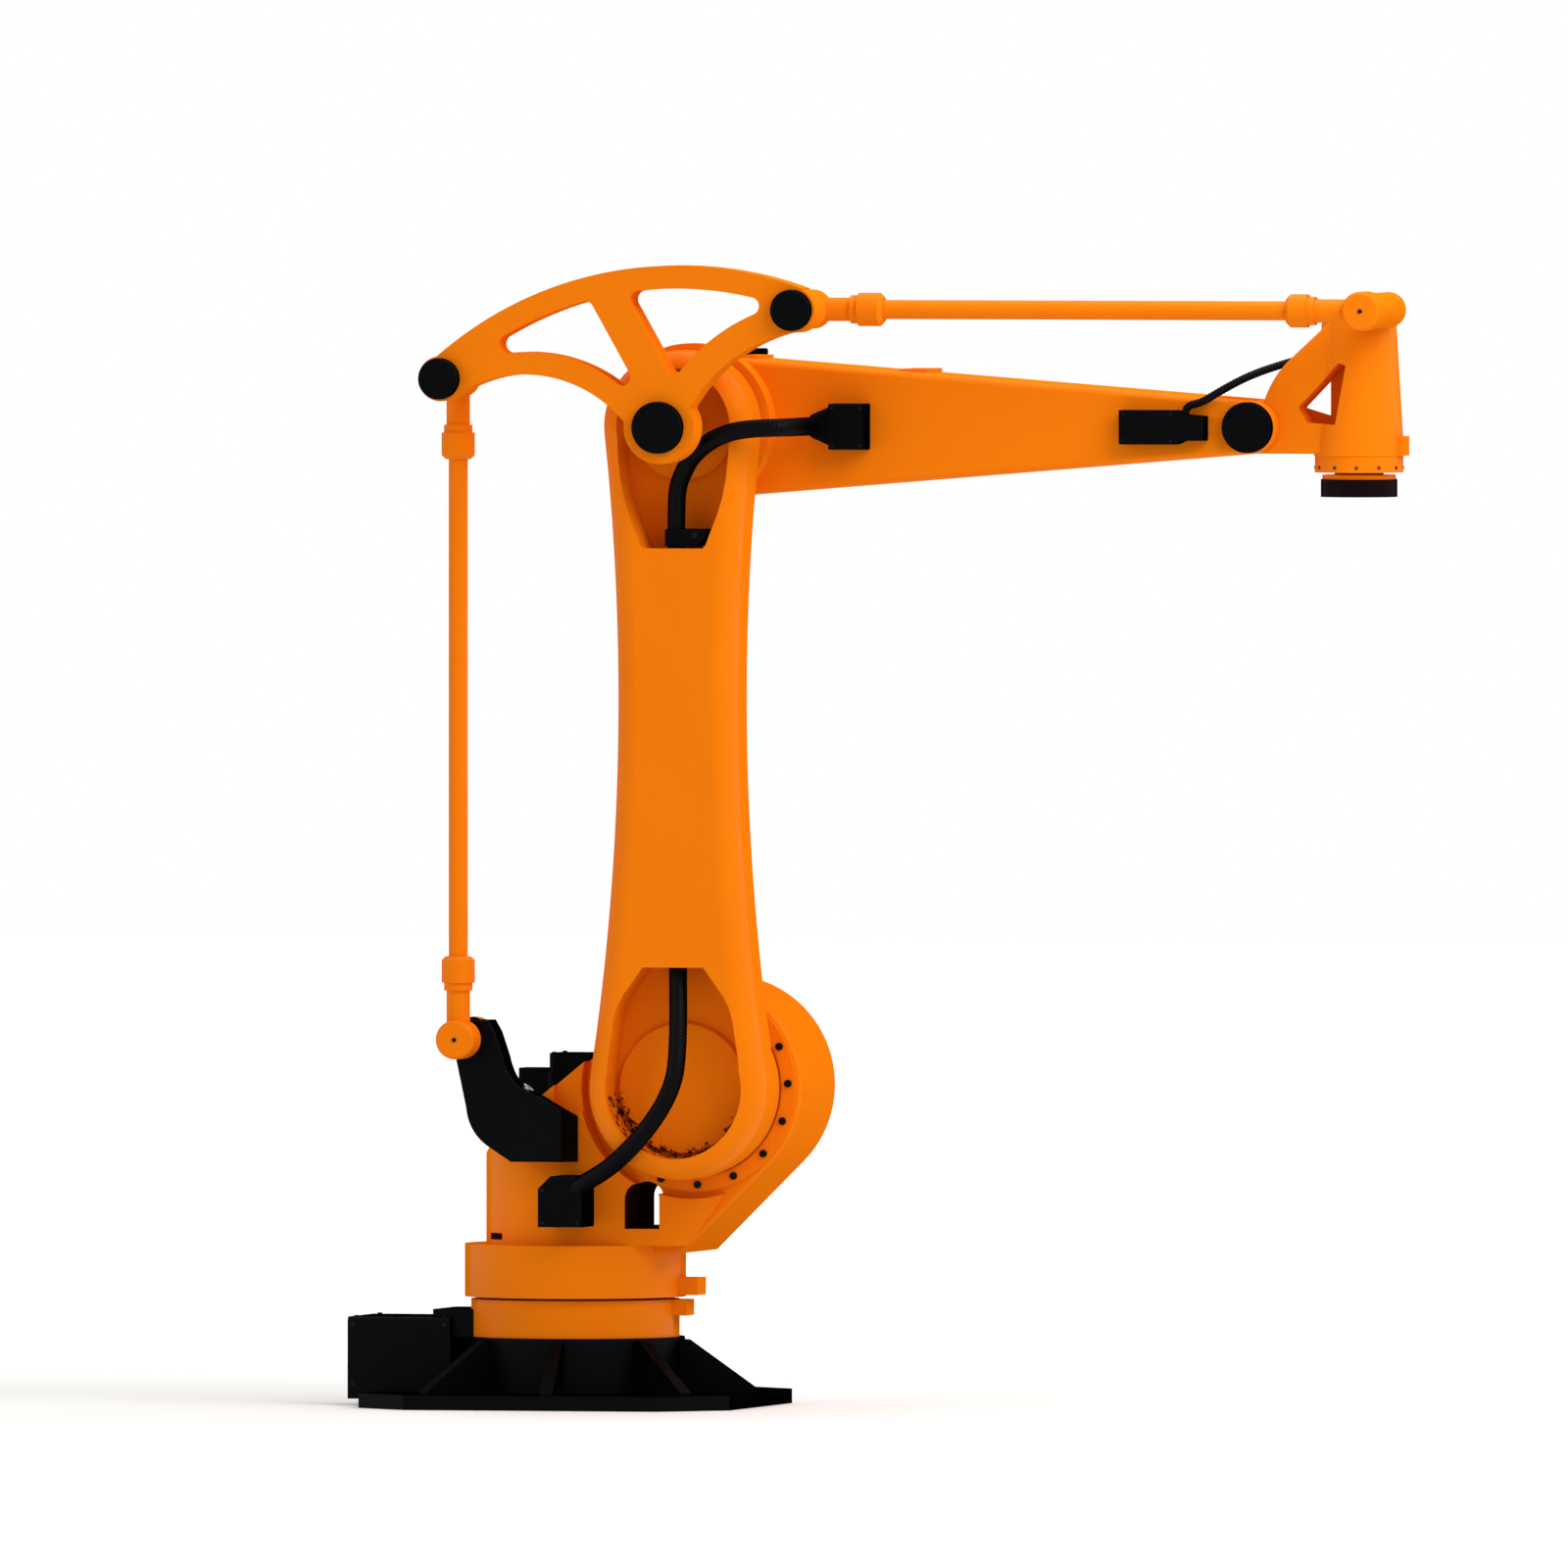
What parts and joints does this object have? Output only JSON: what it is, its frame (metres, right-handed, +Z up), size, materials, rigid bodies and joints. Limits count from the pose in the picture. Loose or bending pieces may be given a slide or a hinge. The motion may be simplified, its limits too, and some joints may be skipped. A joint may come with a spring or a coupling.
{
  "type": "palletizing robot arm",
  "caption": "Floor-mounted palletizing robot arm: turning base, link arm and arm driven through parallel rods and a rocker that keep the wrist and tool flange level.",
  "frame": {"origin": "On the floor under the turning axis of the base", "axes": "+X forward along the arm at rest, +Y away from the linkage side, +Z up"},
  "size_m": [2.212, 0.919, 2.335],
  "materials": {
    "orange_paint": "gloss",
    "black_paint": "satin",
    "black_plastic": "satin",
    "black_hose": "satin",
    "steel": "satin"
  },
  "bodies": {
    "base": {"base_plate": "black_paint", "base_foot": "black_paint", "base_ring": "orange_paint", "connection_box": "black_paint", "cable_sockets": "black_plastic", "cable_duct": "black_paint", "turn_stop": "orange_paint"},
    "carousel": {"turntable": "orange_paint", "carousel_casting": "orange_paint", "shoulder_ring": "orange_paint", "shoulder_motor": "black_paint", "turning_motor": "black_paint", "lever_bracket": "black_paint", "lever_pin_cap": "orange_paint", "lower_cable_box": "black_plastic", "lower_hose": "black_hose"},
    "link_arm": {"link_arm_casting": "orange_paint", "shoulder_cover": "orange_paint", "elbow_cover": "orange_paint", "rocker_pin": "steel", "hose_clamp": "black_plastic", "elbow_hose_lower": "black_hose"},
    "rocker": {"rocker_frame": "orange_paint", "rocker_rod_pins": "steel", "rocker_caps": "black_plastic"},
    "rear_rod": {"rear_rod_tube": "orange_paint", "rear_rod_ends": "orange_paint"},
    "top_rod": {"top_rod_tube": "orange_paint", "top_rod_ends": "orange_paint"},
    "arm": {"arm_casting": "orange_paint", "elbow_drum": "orange_paint", "elbow_motor": "black_paint", "elbow_cable_box": "black_plastic", "wrist_cable_box": "black_plastic", "elbow_hose_upper": "black_hose", "wrist_hose": "black_hose"},
    "wrist": {"wrist_casting": "orange_paint", "wrist_pivot": "black_plastic", "wrist_rod_pin": "steel", "wrist_ring": "orange_paint"},
    "flange": {"flange_neck": "orange_paint", "tool_flange": "black_paint"}
  },
  "joints": [
    {"name": "base_turn", "type": "hinge", "parent": "base", "child": "carousel", "pos_m": [0, 0, 0.26], "axis": [0, 0, 1], "range_deg": [-180, 180]},
    {"name": "shoulder", "type": "hinge", "parent": "carousel", "child": "link_arm", "pos_m": [0.28, 0, 0.655], "axis": [0, 1, 0], "range_deg": [-25, 70], "deforming": ["lower_hose"]},
    {"name": "rocker_level", "type": "hinge", "parent": "link_arm", "child": "rocker", "pos_m": [0.28, 0, 2.005], "axis": [0, 1, 0], "range_deg": [-70, 25], "deforming": ["elbow_hose_lower"]},
    {"name": "elbow", "type": "hinge", "parent": "rocker", "child": "arm", "pos_m": [0.28, 0, 2.005], "axis": [0, 1, 0], "range_deg": [-20, 50], "deforming": ["elbow_hose_upper"]},
    {"name": "wrist_level", "type": "hinge", "parent": "arm", "child": "wrist", "pos_m": [1.44, 0, 2.005], "axis": [0, 1, 0], "range_deg": [-50, 20], "deforming": ["wrist_hose"]},
    {"name": "rear_rod_swing", "type": "hinge", "parent": "carousel", "child": "rear_rod", "pos_m": [-0.179, -0.267, 0.753], "axis": [0, 1, 0], "range_deg": [-25, 70]},
    {"name": "top_rod_swing", "type": "hinge", "parent": "rocker", "child": "top_rod", "pos_m": [0.56, -0.267, 2.245], "axis": [0, 1, 0], "range_deg": [-20, 50]},
    {"name": "flange_turn", "type": "hinge", "parent": "wrist", "child": "flange", "pos_m": [1.646, 0, 1.863], "axis": [0, 0, 1], "range_deg": [-350, 350]}
  ],
  "couplings": [
    {"joint": "rocker_level", "follows": "shoulder", "ratio": -1},
    {"joint": "rear_rod_swing", "follows": "shoulder", "ratio": 1},
    {"joint": "wrist_level", "follows": "elbow", "ratio": -1},
    {"joint": "top_rod_swing", "follows": "elbow", "ratio": 1}
  ]
}
